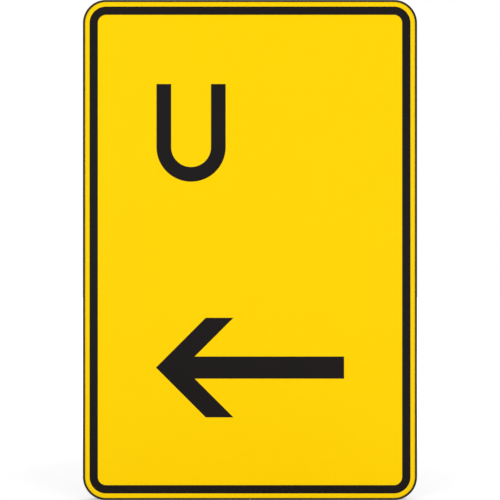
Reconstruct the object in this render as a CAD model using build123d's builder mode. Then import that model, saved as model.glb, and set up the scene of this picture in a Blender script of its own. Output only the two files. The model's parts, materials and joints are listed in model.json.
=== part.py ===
from build123d import *
import os
from math import sqrt

# Detour sign for one round post: a sheet with its films in an edge profile, two rails across the back,
# and two post clamps that slide along the rails.
# All sizes are in millimetres. +X is the reader's right, +Y is the rear and +Z is up.
# The origin is on the post's axis, midway between the two clamps.

# Sheet and films
sheet_width = 600.0
sheet_height = 900.0
sheet_thickness = 2.0
sheet_corner_radius = 40.0
face_film_thickness = 0.4
legend_thickness = 0.15
border_margin = 10.0
border_width = 15.0

# Letter of two straight legs and a half ring, placed from the sheet's left and top edges
letter_width = 125.0
letter_height = 176.5
letter_stroke = 26.5
letter_from_left = 131.0
letter_from_top = 150.0

# Arrow that points left, with its edges at 45 degrees, centred across the sheet
arrow_length = 340.0
arrow_head_height = 180.0
arrow_shaft_width = 40.0
arrow_arm_width = 50.0
arrow_from_bottom = 237.5

# Edge profile, bent round the sheet from one length
profile_wall = 1.6
sheet_clearance = 0.2
lip_cover = 1.8
lip_thickness = 1.5
shelf_width = 10.2
shelf_thickness = 1.2
flange_width = 12.2
flange_thickness = 1.8
profile_edge_chamfer = 0.6
butt_gap = 0.6

# Splice across the profile's butt joint, at the bottom centre
splice_length = 80.0
splice_thickness = 3.0
splice_clearance = 0.3

# Rails
clamp_spacing = 500.0
rail_height = 40.0
rail_depth = 18.0
rail_base = 2.5
rail_wall = 2.5
rail_lip = 3.0
rail_outer_radius = 1.5
rail_end_gap = 1.5
rail_groove_depth = 0.5
tape_side_margin = 2.0
tape_end_gap = 0.5

# Bolts, washers and nuts
bolt_diameter = 8.0
slot_play = 1.0
neck_play = 0.5
neck_end_gap = 0.3
head_bearing = 6.5
head_thickness = 5.0
head_round = 3.5
bolt_hole_play = 0.5
bolt_projection = 10.0
washer_play = 0.2
washer_band = 4.0
washer_thickness = 1.6
spring_band = 3.0
spring_thickness = 2.0
spring_split = 1.2
spring_slant = 20.0
nut_wall = 2.5
nut_height = 6.5
nut_play = 0.05

# Post clamps
post_diameter = 60.3
clamp_width = 40.0
clamp_gap = 10.0
ear_margin = 12.0
washer_room = 3.85
saddle_seat = 5.0
saddle_base = 4.5
saddle_wall = 4.0
saddle_ear = 6.0
saddle_chamber_radius = 1.5
strap_thickness = 4.0
strap_crook_radius = 4.0
strap_corner_radius = 6.0
bead_height = 2.5
bead_crest = 6.0
bead_groove_crest = 3.0
bead_flank_height = 3.5
bead_flank_width = 4.0

# Depths along Y, from the post forward to the sign's face
post_radius = post_diameter / 2
rail_rear = -(post_radius + saddle_seat)
rail_front = rail_rear - rail_depth
rail_middle = (rail_rear + rail_front) / 2
lip_inside = rail_rear - rail_lip
sheet_rear = rail_front - shelf_thickness
sheet_front = sheet_rear - sheet_thickness
face_front = sheet_front - face_film_thickness
profile_front = face_front - lip_thickness
profile_rear = rail_rear + flange_thickness

# Edge profile
profile_half_width = sheet_width / 2 + sheet_clearance + profile_wall
profile_half_height = sheet_height / 2 + sheet_clearance + profile_wall
profile_radius = sheet_corner_radius + sheet_clearance + profile_wall
lip_reach = profile_wall + sheet_clearance + lip_cover
shelf_reach = profile_wall + shelf_width
flange_reach = profile_wall + flange_width

# Rails and their fasteners
rail_half_length = profile_half_width - profile_wall - rail_end_gap
rail_cavity_height = rail_height - 2 * rail_wall
rail_cavity_depth = rail_depth - rail_base - rail_lip
slot_width = bolt_diameter + slot_play
lip_middle = (slot_width + rail_cavity_height) / 4
tape_half_length = profile_half_width - shelf_reach - tape_end_gap

# Clamps, and the stack of washers and nut behind each strap ear
bolt_radius = bolt_diameter / 2
bolt_hole_radius = bolt_radius + bolt_hole_play
neck_width = slot_width - neck_play
washer_radius = bolt_radius + washer_band
band_radius = post_radius + strap_thickness
bolt_x = band_radius + washer_room + washer_radius
clamp_length = 2 * (bolt_x + ear_margin)
saddle_rear = -clamp_gap / 2
strap_front = clamp_gap / 2
strap_rear = strap_front + strap_thickness
strap_middle = (strap_front + strap_rear) / 2
spring_seat = strap_rear + washer_thickness
nut_seat = spring_seat + spring_thickness
bolt_end = nut_seat + nut_height + bolt_projection


def front_plane(y, z=0.0):
    """A plane across the sign at depth y and height z that faces the reader."""
    return Plane((0, y, z), x_dir=(1, 0, 0), z_dir=(0, -1, 0))


def rear_plane(y, z=0.0):
    """A plane across the sign at depth y and height z that faces the rear."""
    return Plane((0, y, z), x_dir=(1, 0, 0), z_dir=(0, 1, 0))


def crowned_half_disc(radius, crest):
    """Half of a disc behind the middle of the strap's ears, whose rim slopes off beside its crest."""
    shoulder_radius = radius - bead_flank_height
    half_crest = crest / 2
    half_width = half_crest + bead_flank_width
    with BuildPart() as half_disc:
        with BuildSketch(front_plane(strap_middle)):
            with BuildLine():
                Polyline(
                    (0, -half_width),
                    (shoulder_radius, -half_width),
                    (radius, -half_crest),
                    (radius, half_crest),
                    (shoulder_radius, half_width),
                    (0, half_width),
                    close=True,
                )
            make_face()
        revolve(axis=Axis((0, strap_middle, 0), (0, 0, 1)), revolution_arc=180)
    return half_disc.part


# Sheet
with BuildPart() as panel_sheet:
    with BuildSketch(front_plane(sheet_rear)):
        RectangleRounded(sheet_width, sheet_height, sheet_corner_radius)
    extrude(amount=sheet_thickness)

# Face film, cut to the sheet
with BuildPart() as face_film:
    with BuildSketch(front_plane(sheet_front)):
        RectangleRounded(sheet_width, sheet_height, sheet_corner_radius)
    extrude(amount=face_film_thickness)

# Border film: a band between two outlines that follow the sheet's edge
with BuildPart() as border_film:
    with BuildSketch(front_plane(face_front)):
        for inset, mode in ((border_margin, Mode.ADD), (border_margin + border_width, Mode.SUBTRACT)):
            outline_width = sheet_width - 2 * inset
            outline_height = sheet_height - 2 * inset
            RectangleRounded(outline_width, outline_height, sheet_corner_radius - inset, mode=mode)
    extrude(amount=legend_thickness)

# Letter film
with BuildPart() as letter_film:
    bowl_radius = letter_width / 2
    leg_length = letter_height - bowl_radius
    letter_x = letter_from_left + bowl_radius - sheet_width / 2
    bowl_z = sheet_height / 2 - letter_from_top - leg_length
    with BuildSketch(front_plane(face_front, bowl_z)):
        with Locations((letter_x, 0)):
            for half_width, mode in ((bowl_radius, Mode.ADD), (bowl_radius - letter_stroke, Mode.SUBTRACT)):
                Circle(half_width, mode=mode)
                Rectangle(2 * half_width, leg_length, align=(Align.CENTER, Align.MIN), mode=mode)
    extrude(amount=legend_thickness)

# Arrow film
with BuildPart() as arrow_film:
    tip_x = -arrow_length / 2
    tail_x = arrow_length / 2
    arm_x = tip_x + arrow_head_height / 2
    crook_x = tip_x + arrow_shaft_width / 2 + arrow_arm_width
    arrow_z = arrow_from_bottom - sheet_height / 2
    with BuildSketch(front_plane(face_front, arrow_z)):
        with BuildLine():
            Polyline(
                (tip_x, 0),
                (arm_x, arrow_head_height / 2),
                (arm_x + arrow_arm_width, arrow_head_height / 2),
                (crook_x, arrow_shaft_width / 2),
                (tail_x, arrow_shaft_width / 2),
                (tail_x, 0),
            )
            mirror(about=Plane.XZ)
        make_face()
    extrude(amount=legend_thickness)

# Edge profile: one section swept round the sheet, with its butt joint at the bottom centre
with BuildPart() as edge_profile:
    with BuildLine(front_plane(profile_front)) as rim:
        FilletPolyline(
            (butt_gap / 2, -profile_half_height),
            (profile_half_width, -profile_half_height),
            (profile_half_width, profile_half_height),
            (-profile_half_width, profile_half_height),
            (-profile_half_width, -profile_half_height),
            (-butt_gap / 2, -profile_half_height),
            radius=profile_radius,
        )
    # In the section, X runs inward from the outer face and Y runs to the rear from the front
    section_origin = (butt_gap / 2, profile_front, -profile_half_height)
    with BuildSketch(Plane(section_origin, x_dir=(0, 0, 1), z_dir=(-1, 0, 0))) as profile_section:
        outer_front = (Align.MIN, Align.MIN)
        Rectangle(profile_wall, profile_rear - profile_front, align=outer_front)
        Rectangle(lip_reach, lip_thickness, align=outer_front)
        with Locations((0, sheet_rear - profile_front)):
            Rectangle(shelf_reach, shelf_thickness, align=outer_front)
        with Locations((0, rail_rear - profile_front)):
            Rectangle(flange_reach, flange_thickness, align=outer_front)
        outer_corners = profile_section.vertices().group_by(Axis.X)[0]
        chamfer(outer_corners, profile_edge_chamfer)
    sweep(path=rim.wires()[0])

# Splice plate on the inside of the flange, across the butt joint
with BuildPart() as splice_plate:
    splice_z = profile_wall + flange_width / 2 - profile_half_height
    with BuildSketch(front_plane(rail_rear, splice_z)):
        Rectangle(splice_length, flange_width - 2 * splice_clearance)
    extrude(amount=splice_thickness)

# Rail: an open C with its slot to the rear, and a drill groove along the middle of each lip
with BuildPart() as rail:
    with BuildSketch(Plane.YZ.offset(-rail_half_length)):
        with Locations((rail_middle, 0)):
            RectangleRounded(rail_depth, rail_height, rail_outer_radius)
        with Locations((rail_front + rail_base + rail_cavity_depth / 2, 0)):
            Rectangle(rail_cavity_depth, rail_cavity_height, mode=Mode.SUBTRACT)
        with Locations((rail_rear, 0)):
            Rectangle(2 * rail_lip, slot_width, mode=Mode.SUBTRACT)
        groove_side = sqrt(2) * rail_groove_depth
        with Locations((rail_rear, -lip_middle), (rail_rear, lip_middle)):
            Rectangle(groove_side, groove_side, rotation=45, mode=Mode.SUBTRACT)
    extrude(amount=2 * rail_half_length)

# Bonding tape between the rail and the sheet
with BuildPart() as rail_tape:
    with BuildSketch(front_plane(rail_front)):
        Rectangle(2 * tape_half_length, rail_height - 2 * tape_side_margin)
    extrude(amount=shelf_thickness)

# Saddle: a hollow extrusion that seats on the rail and takes half of the post
with BuildPart() as saddle:
    chamber_floor = rail_rear + saddle_base
    chamber_roof = saddle_rear - saddle_ear
    with BuildSketch(mode=Mode.PRIVATE) as chambers:
        with Locations((0, (chamber_floor + chamber_roof) / 2)):
            Rectangle(clamp_length - 2 * saddle_wall, chamber_roof - chamber_floor)
        Circle(post_radius + saddle_wall, mode=Mode.SUBTRACT)
        fillet(chambers.vertices(), saddle_chamber_radius)
    with BuildSketch(Plane.XY.offset(-clamp_width / 2)):
        with Locations((0, (rail_rear + saddle_rear) / 2)):
            Rectangle(clamp_length, saddle_rear - rail_rear)
        Circle(post_radius, mode=Mode.SUBTRACT)
        add(chambers.sketch, mode=Mode.SUBTRACT)
    extrude(amount=clamp_width)
    with Locations(rear_plane(saddle_rear)):
        with GridLocations(2 * bolt_x, clamp_width, 2, 1):
            Hole(bolt_hole_radius)

# T-bolt: its head is behind the rail's lips, with two corners rounded to turn in. Its neck is in the slot.
with BuildPart() as t_bolt:
    with BuildSketch(front_plane(lip_inside)) as bolt_head:
        Rectangle(neck_width, slot_width + 2 * head_bearing)
        turning_corners = bolt_head.vertices().sort_by(lambda corner: corner.X * corner.Y)[:2]
        fillet(turning_corners, head_round)
    extrude(amount=head_thickness)
    with BuildSketch(rear_plane(lip_inside)):
        Rectangle(neck_width, neck_width)
    extrude(amount=rail_lip - neck_end_gap)
    with BuildSketch(rear_plane(lip_inside)):
        Circle(bolt_radius)
    extrude(amount=bolt_end - lip_inside)

# Pressed bead of the strap, which runs out into the band on both sides, and the groove inside it
bead_radius = band_radius + bead_height - strap_middle
bead = crowned_half_disc(bead_radius, bead_crest)
bead_groove = crowned_half_disc(bead_radius - strap_thickness, bead_groove_crest)

# Strap: a bent band with two ears. Its bends keep the thickness of the band.
with BuildPart() as strap:
    with BuildSketch(Plane.XY.offset(-clamp_width / 2)) as strap_section:
        Circle(band_radius)
        with Locations((0, strap_middle)):
            Rectangle(clamp_length, strap_thickness)
        Circle(post_radius, mode=Mode.SUBTRACT)
        with Locations((0, strap_front)):
            Rectangle(clamp_length, 2 * clamp_length, align=(Align.CENTER, Align.MAX), mode=Mode.SUBTRACT)
        bends = strap_section.vertices().filter_by_position(Axis.X, -band_radius, band_radius)
        rows = bends.group_by(Axis.Y)
        fillet(rows[-1], strap_crook_radius)
        fillet(rows[0], strap_crook_radius + strap_thickness)
    extrude(amount=clamp_width)
    ear_ends = strap.faces().filter_by(Axis.X)
    fillet(ear_ends.edges().filter_by(Axis.Y), strap_corner_radius)
    with Locations(rear_plane(strap_rear)):
        with GridLocations(2 * bolt_x, clamp_width, 2, 1):
            Hole(bolt_hole_radius)
    add(bead)
    Cylinder(post_radius, clamp_width, mode=Mode.SUBTRACT)
    add(bead_groove, mode=Mode.SUBTRACT)

# Flat washer
with BuildPart() as washer:
    with BuildSketch(rear_plane(strap_rear)):
        Circle(washer_radius)
        Circle(bolt_radius + washer_play, mode=Mode.SUBTRACT)
    extrude(amount=washer_thickness)

# Spring washer, with its slanted split
with BuildPart() as spring_washer:
    with BuildSketch(rear_plane(spring_seat)):
        Circle(bolt_radius + spring_band)
        Circle(bolt_radius + washer_play, mode=Mode.SUBTRACT)
    extrude(amount=spring_thickness)
    with Locations((0, (spring_seat + nut_seat) / 2, bolt_radius + spring_band / 2)):
        Box(
            spring_split,
            3 * spring_thickness,
            2 * spring_band,
            rotation=(0, 0, spring_slant),
            mode=Mode.SUBTRACT,
        )

# Nut
with BuildPart() as nut:
    with BuildSketch(rear_plane(nut_seat)):
        RegularPolygon(bolt_radius + nut_wall, 6, major_radius=False)
        Circle(bolt_radius + nut_play, mode=Mode.SUBTRACT)
    extrude(amount=nut_height)

pieces = {
    "panel_sheet": panel_sheet,
    "face_film": face_film,
    "border_film": border_film,
    "letter_film": letter_film,
    "arrow_film": arrow_film,
    "edge_profile": edge_profile,
    "splice_plate": splice_plate,
}

# The bolts and what is on them, one pair to each clamp
bolt_pieces = {
    "t_bolts": t_bolt,
    "washers": washer,
    "spring_washers": spring_washer,
    "nuts": nut,
}
clamp_pieces = {
    "rail": rail,
    "rail_tape": rail_tape,
    "saddle": saddle,
    "strap": strap,
}
for name, single in bolt_pieces.items():
    with BuildPart() as pair:
        with Locations((-bolt_x, 0, 0), (bolt_x, 0, 0)):
            add(single.part)
    clamp_pieces[name] = pair

# A rail with its clamp at each end of the sign
for end, end_z in (("upper", clamp_spacing / 2), ("lower", -clamp_spacing / 2)):
    for name, piece in clamp_pieces.items():
        with BuildPart() as placed:
            with Locations((0, 0, end_z)):
                add(piece.part)
        pieces[f"{end}_{name}"] = placed

os.makedirs("parts", exist_ok=True)
for label, piece in pieces.items():
    piece.part.label = label
    export_step(piece.part, f"parts/{label}.step")
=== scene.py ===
import json
from collections import Counter
from math import atan2, ceil, copysign, cos, pi, radians, sin, sqrt, tan

import bmesh
import bpy
from bpy.props import FloatProperty, FloatVectorProperty, PointerProperty
from bpy.types import NodeSocket, Operator, Panel, PropertyGroup
from mathutils import Matrix, Vector


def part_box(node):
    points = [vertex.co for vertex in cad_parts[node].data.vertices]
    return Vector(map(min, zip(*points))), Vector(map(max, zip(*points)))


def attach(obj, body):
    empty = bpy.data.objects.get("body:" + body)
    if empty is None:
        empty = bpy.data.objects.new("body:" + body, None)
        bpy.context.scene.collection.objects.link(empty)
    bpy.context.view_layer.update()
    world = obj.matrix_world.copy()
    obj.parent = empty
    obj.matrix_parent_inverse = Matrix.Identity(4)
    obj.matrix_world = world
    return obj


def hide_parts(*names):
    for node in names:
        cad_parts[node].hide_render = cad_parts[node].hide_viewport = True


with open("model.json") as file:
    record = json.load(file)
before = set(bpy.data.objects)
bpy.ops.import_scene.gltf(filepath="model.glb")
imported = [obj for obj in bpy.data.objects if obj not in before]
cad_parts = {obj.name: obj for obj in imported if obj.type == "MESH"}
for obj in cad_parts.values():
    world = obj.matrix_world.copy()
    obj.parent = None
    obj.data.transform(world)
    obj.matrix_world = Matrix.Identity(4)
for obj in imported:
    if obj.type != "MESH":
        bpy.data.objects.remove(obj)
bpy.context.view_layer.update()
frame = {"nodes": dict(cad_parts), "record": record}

bl_info = {
    "name": "Detour Sign",
    "version": (1, 0, 0),
    "blender": (4, 5, 0),
    "location": "3D View > Sidebar > Detour Sign",
    "description": "Dresses a detour sign with its films, edge profile, back rails and post clamps",
    "category": "Object",
}

# Both rails and both clamps are named for their end of the sign
ENDS = ("upper", "lower")
# A map of this name is the one that a piece's finish is baked through
BAKE_MAP = "OFBake"
# The values of a noise seldom leave this range
NOISE_RANGE = (0.3, 0.7)
WHITE = (1.0, 1.0, 1.0, 1.0)

# All lengths are in metres. +X is the reader's right, +Y is the rear and +Z is up.
profile_low, profile_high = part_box("edge_profile")
sheet_low, sheet_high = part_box("panel_sheet")
face_low, face_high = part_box("face_film")
border_low, border_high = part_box("border_film")
rail_low, rail_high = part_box("upper_rail")
washers_low, washers_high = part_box("upper_washers")
post_radius = frame["record"]["mounts"][0]["dims"]["r_mm"] / 1000


def length(label, description, default):
    """A size that a user may change."""
    return FloatProperty(
        name=label, description=description, default=default, min=0.0, precision=5, unit="LENGTH"
    )


def turn(label, description, degrees):
    """An angle that a user may change."""
    return FloatProperty(
        name=label, description=description, default=radians(degrees), min=0.0, unit="ROTATION"
    )


def fraction(label, description, default):
    """A share of a whole that a user may change."""
    return FloatProperty(
        name=label, description=description, default=default, min=0.0, max=1.0, subtype="FACTOR"
    )


def power(label, description, watts):
    """A lamp's power that a user may change."""
    return FloatProperty(name=label, description=description, default=watts, min=0.0, unit="POWER")


def colour(label, description, default):
    """A finish's colour that a user may change."""
    return FloatVectorProperty(
        name=label, description=description, default=default, size=3, min=0.0, max=1.0, subtype="COLOR"
    )


class FilmSettings(PropertyGroup):
    """Sheet and films"""

    yellow: colour("Yellow", "Colour of the reflective face film", (1.0, 0.655, 0.0))
    black: colour("Black", "Colour of the border, letter and arrow films", (0.0075, 0.0055, 0.006))
    sheet_grey: colour("Sheet grey", "Colour of the paint on the back of the sheet", (0.1, 0.105, 0.11))
    cell_size: length("Cell size", "Width of one cell of the reflective film", 0.004)
    border_margin: length(
        "Border margin", "Yellow strip between the sheet's edge and the border", border_low.x - sheet_low.x
    )
    border_width: length("Border width", "Width of the black border", 0.015)
    corner_radius: length("Corner radius", "Corner radius of the sheet", 0.040)


class ProfileSettings(PropertyGroup):
    """Edge profile"""

    coat: colour("Coat", "Colour of the powder coat", (0.0115, 0.0095, 0.0099))
    wall: length("Wall", "Thickness of the profile's outer wall", 0.0016)
    lip_reach: length("Lip reach", "How far the front lip reaches inward", 0.0036)
    lip_thickness: length("Lip thickness", "Thickness of the front lip", face_low.y - profile_low.y)
    shelf_reach: length("Shelf reach", "How far the shelf behind the sheet reaches inward", 0.0118)
    shelf_thickness: length("Shelf thickness", "Thickness of that shelf", rail_low.y - sheet_high.y)
    flange_reach: length("Flange reach", "How far the rear flange reaches inward", 0.0138)
    flange_thickness: length("Flange thickness", "Thickness of that flange", profile_high.y - rail_high.y)
    corner_radius: length("Corner radius", "Outer radius of the profile's bends", 0.0418)
    butt_gap: length("Butt gap", "Gap between the profile's ends at the bottom centre", 0.0006)
    front_round: length("Front round", "Rounding of the profile's front edges", 0.0005)
    rear_round: length("Rear round", "Rounding of the profile's outer rear edge", 0.0009)
    tip_round: length("Tip round", "Rounding of the edges of the lip, the shelf and the flange", 0.0004)
    root_round: length("Root round", "Rounding of the corners between the shelf and the flange", 0.0007)


class RailSettings(PropertyGroup):
    """Rails, their tapes, the splice plate and the rivets"""

    aluminium: colour("Aluminium", "Colour of the mill-finish aluminium", (0.48, 0.49, 0.5))
    foam: colour("Foam", "Colour of the foam tape", (0.05, 0.05, 0.055))
    wall: length("Wall", "Thickness of the rail's base and sides", 0.0025)
    lip: length("Lip", "Thickness of the rail's lips", 0.003)
    slot: length("Slot", "Width of the slot between the lips", 0.009)
    lip_round: length("Lip round", "Rounding of the lips along the slot", 0.0005)
    outer_radius: length("Outer radius", "Radius of the rail's outer edges", 0.0015)
    inner_radius: length("Inner radius", "Radius of the corners inside the rail", 0.0008)
    groove_offset: length("Groove offset", "Distance of each drill groove from the rail's middle", 0.011)
    groove_depth: length("Groove depth", "Depth of the drill grooves", 0.0005)
    plate_edge: length("Plate edge", "Rounding of the splice plate's edges", 0.0004)
    rivet_diameter: length("Rivet diameter", "Diameter of a rivet's head", 0.008)
    rivet_height: length("Rivet height", "Height of a rivet's head", 0.0015)


class ClampSettings(PropertyGroup):
    """Saddles and straps"""

    galvanised: colour("Galvanised", "Colour of the galvanised straps", (0.38, 0.395, 0.41))
    saddle_edge: length("Saddle edge", "Rounding of the saddle's edges", 0.0005)
    strap_thickness: length("Strap thickness", "Thickness of the strap", 0.004)
    strap_edge: length("Strap edge", "Rounding of the strap's edges", 0.0007)
    crook_radius: length("Crook radius", "Radius inside the bends between the strap and its ears", 0.004)
    ear_corner: length("Ear corner", "Corner radius of the ears", 0.006)
    bolt_hole: length("Bolt hole", "Diameter of the holes in the ears", 0.009)
    bead_crest: length("Bead crest", "Width of the bead's crest on the outside", 0.006)
    groove_crest: length("Groove crest", "Width of the groove's floor on the inside of the bead", 0.003)
    bead_inset: length("Bead inset", "How far inside the crest's edge the bead begins to slope", 0.0012)
    bead_slope: length("Bead slope", "Width of the bead's slope", 0.005)
    bead_full: turn("Bead full", "Angle from the middle up to which the bead has its full height", 10.0)
    bead_end: turn("Bead end", "Angle from the middle at which the bead has run out", 50.0)


class FastenerSettings(PropertyGroup):
    """Bolts, washers and nuts"""

    zinc: colour("Zinc", "Colour of the bright zinc plate", (0.54, 0.555, 0.58))
    bolt_spacing: length(
        "Bolt spacing",
        "Distance between the two bolts of a clamp",
        (washers_high.x - washers_low.x) - (washers_high.z - washers_low.z),
    )
    bolt_diameter: length("Bolt diameter", "Outer diameter of the thread", 0.008)
    thread_pitch: length("Thread pitch", "Advance of the thread in one turn", 0.00125)
    thread_depth: length("Thread depth", "Depth of the thread", 0.00068)
    thread_length: length("Thread length", "Length of the thread from the bolt's end", 0.036)
    tip_taper: length("Tip taper", "Length of the taper at the bolt's end", 0.0011)
    head_thickness: length("Head thickness", "Thickness of the T-head", 0.005)
    head_round: length("Head round", "Radius of the two corners that let the T-head turn in", 0.0035)
    head_corner: length("Head corner", "Radius of the head's other corners and of the neck's", 0.0006)
    head_edge: length("Head edge", "Rounding of the edges of the T-head", 0.0005)
    neck_length: length("Neck length", "Length of the square neck in the rail's slot", 0.0027)
    neck_play: length("Neck play", "Play of the neck in the rail's slot", 0.0005)
    washer_play: length("Washer play", "Play of the washers on the bolt", 0.0002)
    washer_edge: length("Washer edge", "Rounding of the washers' edges", 0.0003)
    spring_split: length("Spring split", "Width of the split in a spring washer", 0.0012)
    split_slant: turn("Split slant", "Slant of that split", 20.0)
    nut_width: length("Nut width", "Width of a nut across its flats", 0.013)
    nut_face: fraction("Nut face", "Width of a nut's flat face as a share of its width across flats", 0.95)
    nut_cone: turn("Nut cone", "Slope of the chamfers on a nut's corners", 30.0)
    bore_chamfer: length("Bore chamfer", "Chamfer at both ends of a nut's bore", 0.0005)
    nut_play: length("Nut play", "Play of the nut on the bolt", 0.00005)


class StageSettings(PropertyGroup):
    """Floor, lamps and camera"""

    floor: colour("Floor", "Colour of the floor", (0.8, 0.8, 0.8))
    floor_lift: fraction("Floor lift", "Light added to the floor near the sign, where it is seen", 0.4)
    shadow_reach: length("Shadow reach", "Distance from the sign at which the floor turns whiter", 0.5)
    white_reach: length("White reach", "Distance from the sign at which the floor is plain white", 1.6)
    fill: fraction("Fill", "Strength of the light from all around", 0.55)
    key_power: power("Key power", "Power of the front left lamp", 39.0)
    side_power: power("Side power", "Power of the front right lamp", 31.0)
    rear_power: power("Rear power", "Power of the lamp behind the sign", 46.0)
    lens: FloatProperty(
        name="Lens", description="Focal length of the camera", default=85.0, min=1.0, unit="CAMERA"
    )


class NodeGraph:
    """The nodes of a material or of the world, and short ways to add to them."""

    def __init__(self, owner):
        owner.use_nodes = True
        self.owner = owner
        self.tree = owner.node_tree

    @classmethod
    def material(cls, name):
        """The nodes of a new material."""
        return cls(bpy.data.materials.new(name))

    def node(self, kind, inputs=None, **settings):
        """Adds a node. An input is a value, or another node's output to link."""
        made = self.tree.nodes.new(kind)
        for name, value in settings.items():
            setattr(made, name, value)
        self.fill_in(made, inputs or {})
        return made

    def fill_in(self, made, inputs):
        """Sets or links the inputs of a node."""
        for socket, value in inputs.items():
            if isinstance(value, NodeSocket):
                self.tree.links.new(value, made.inputs[socket])
            else:
                made.inputs[socket].default_value = value

    def finish(self, **inputs):
        """Sets or links the shader's inputs, with _ for a space in a name, and returns the material."""
        shader = self.tree.nodes["Principled BSDF"]
        self.fill_in(shader, {name.replace("_", " "): value for name, value in inputs.items()})
        return self.owner

    def place(self, scale=(1.0, 1.0, 1.0), offset=(0.0, 0.0, 0.0)):
        """The point on the piece in metres, times scale and moved by offset."""
        point = self.node("ShaderNodeTexCoord").outputs["Object"]
        inputs = {"Vector": point, "Location": offset, "Scale": scale}
        return self.node("ShaderNodeMapping", inputs).outputs[0]

    def parts(self, vector):
        """The X, Y and Z of a vector."""
        return self.node("ShaderNodeSeparateXYZ", {"Vector": vector}).outputs

    def noise(self, place, scale, detail, roughness=0.5):
        """Smooth noise from 0 to 1."""
        inputs = {"Vector": place, "Scale": scale, "Detail": detail, "Roughness": roughness}
        return self.node("ShaderNodeTexNoise", inputs).outputs[0]

    def math(self, operation, *values):
        """One arithmetic step."""
        return self.node("ShaderNodeMath", dict(enumerate(values)), operation=operation).outputs[0]

    def vector_math(self, operation, *values):
        """One arithmetic step on vectors."""
        made = self.node("ShaderNodeVectorMath", dict(enumerate(values)), operation=operation)
        return made.outputs["Value" if operation in ("LENGTH", "DOT_PRODUCT") else "Vector"]

    def mixed(self, first, second, share):
        """A share of the first value, and the rest from the second."""
        # Inputs 2 and 3 of the node are its numbers
        return self.node("ShaderNodeMix", {0: share, 2: second, 3: first}).outputs[0]

    def chosen(self, test, first, second):
        """The first vector where the test is 1, and the second where it is 0."""
        # Inputs 4 and 5 and output 1 of the node are its vectors
        return self.node("ShaderNodeMix", {0: test, 4: second, 5: first}, data_type="VECTOR").outputs[1]

    def spread(self, value, source, target):
        """Maps a value from the source range to the target range."""
        inputs = {
            "Value": value,
            "From Min": source[0],
            "From Max": source[1],
            "To Min": target[0],
            "To Max": target[1],
        }
        return self.node("ShaderNodeMapRange", inputs).outputs[0]

    def shades(self, value, base, *stops):
        """Shades of one colour along a value. Each stop is a position and a brightness."""
        ramp = self.node("ShaderNodeValToRGB", {"Fac": value})
        elements = ramp.color_ramp.elements
        while len(elements) < len(stops):
            elements.new(0.5)
        for element, (position, brightness) in zip(elements, stops):
            element.position = position
            element.color = [min(part * brightness, 1.0) for part in base] + [1.0]
        return ramp.outputs["Color"]

    def bump(self, height, strength, distance):
        """A surface normal from a height."""
        inputs = {"Height": height, "Strength": strength, "Distance": distance}
        return self.node("ShaderNodeBump", inputs).outputs["Normal"]

    def seen(self):
        """1 for what the camera sees, straight, in a reflection or through a clear piece."""
        path = self.node("ShaderNodeLightPath").outputs
        direct = self.math("MAXIMUM", path["Is Camera Ray"], path["Is Glossy Ray"])
        return self.math("MAXIMUM", direct, path["Is Transmission Ray"])


def reflective_film(settings):
    """Yellow film with a faint honeycomb of cells, seen in the plane of the face."""
    graph = NodeGraph.material("Yellow reflective film")
    point = graph.place()
    across, _, up = graph.parts(point)
    # The rows of cells run up the face
    flat = graph.node("ShaderNodeCombineXYZ", {"X": up, "Y": across}).outputs[0]
    cells = graph.vector_math("MULTIPLY", flat, Vector((1.0, 1.0, 0.0)) / settings.cell_size)
    # The cells' middles are two grids half a step apart, and the nearer middle counts
    half_step = Vector((0.5, sqrt(0.75), 0.0))
    first = graph.vector_math("WRAP", cells, half_step, -half_step)
    moved = graph.vector_math("SUBTRACT", cells, half_step)
    second = graph.vector_math("WRAP", moved, half_step, -half_step)
    first_reach = graph.vector_math("LENGTH", first)
    second_reach = graph.vector_math("LENGTH", second)
    nearer = graph.chosen(graph.math("LESS_THAN", first_reach, second_reach), first, second)
    folded = graph.vector_math("ABSOLUTE", nearer)
    slanted = graph.vector_math("DOT_PRODUCT", folded, half_step)
    # The way from a cell's middle to its wall is half a cell
    reach = graph.math("MAXIMUM", slanted, graph.parts(folded)["X"])
    inside = graph.spread(reach, source=(0.48, 0.4), target=(0.0, 1.0))
    tone = graph.mixed(graph.noise(point, scale=6.0, detail=3.0), inside, share=0.1)
    return graph.finish(
        Base_Color=graph.shades(tone, settings.yellow, (0.0, 0.88), (1.0, 1.01)),
        Roughness=graph.spread(inside, source=(0.0, 1.0), target=(0.5, 0.36)),
        Specular_IOR_Level=0.05,
        Normal=graph.bump(inside, strength=0.12, distance=0.00004),
    )


def legend_film(settings):
    """Satin black film."""
    graph = NodeGraph.material("Black legend film")
    drift = graph.noise(graph.place(), scale=9.0, detail=4.0)
    grain = graph.noise(graph.place(), scale=1400.0, detail=2.0)
    return graph.finish(
        Base_Color=graph.shades(drift, settings.black, (0.3, 0.85), (0.7, 1.15)),
        Roughness=graph.spread(drift, source=NOISE_RANGE, target=(0.4, 0.5)),
        Specular_IOR_Level=0.07,
        Normal=graph.bump(grain, strength=0.08, distance=0.00003),
    )


def sheet_paint(settings):
    """Matt grey paint on the rolled sheet."""
    graph = NodeGraph.material("Grey sheet paint")
    drift = graph.noise(graph.place(), scale=5.0, detail=5.0, roughness=0.6)
    rolled = graph.noise(graph.place(scale=(240.0, 240.0, 3.0)), scale=1.0, detail=2.0)
    peel = graph.noise(graph.place(), scale=650.0, detail=2.0)
    tone = graph.mixed(rolled, drift, share=0.35)
    return graph.finish(
        Base_Color=graph.shades(tone, settings.sheet_grey, (0.32, 0.86), (0.68, 1.12)),
        Roughness=graph.spread(drift, source=NOISE_RANGE, target=(0.46, 0.6)),
        Specular_IOR_Level=0.35,
        Normal=graph.bump(peel, strength=0.14, distance=0.00006),
    )


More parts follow.
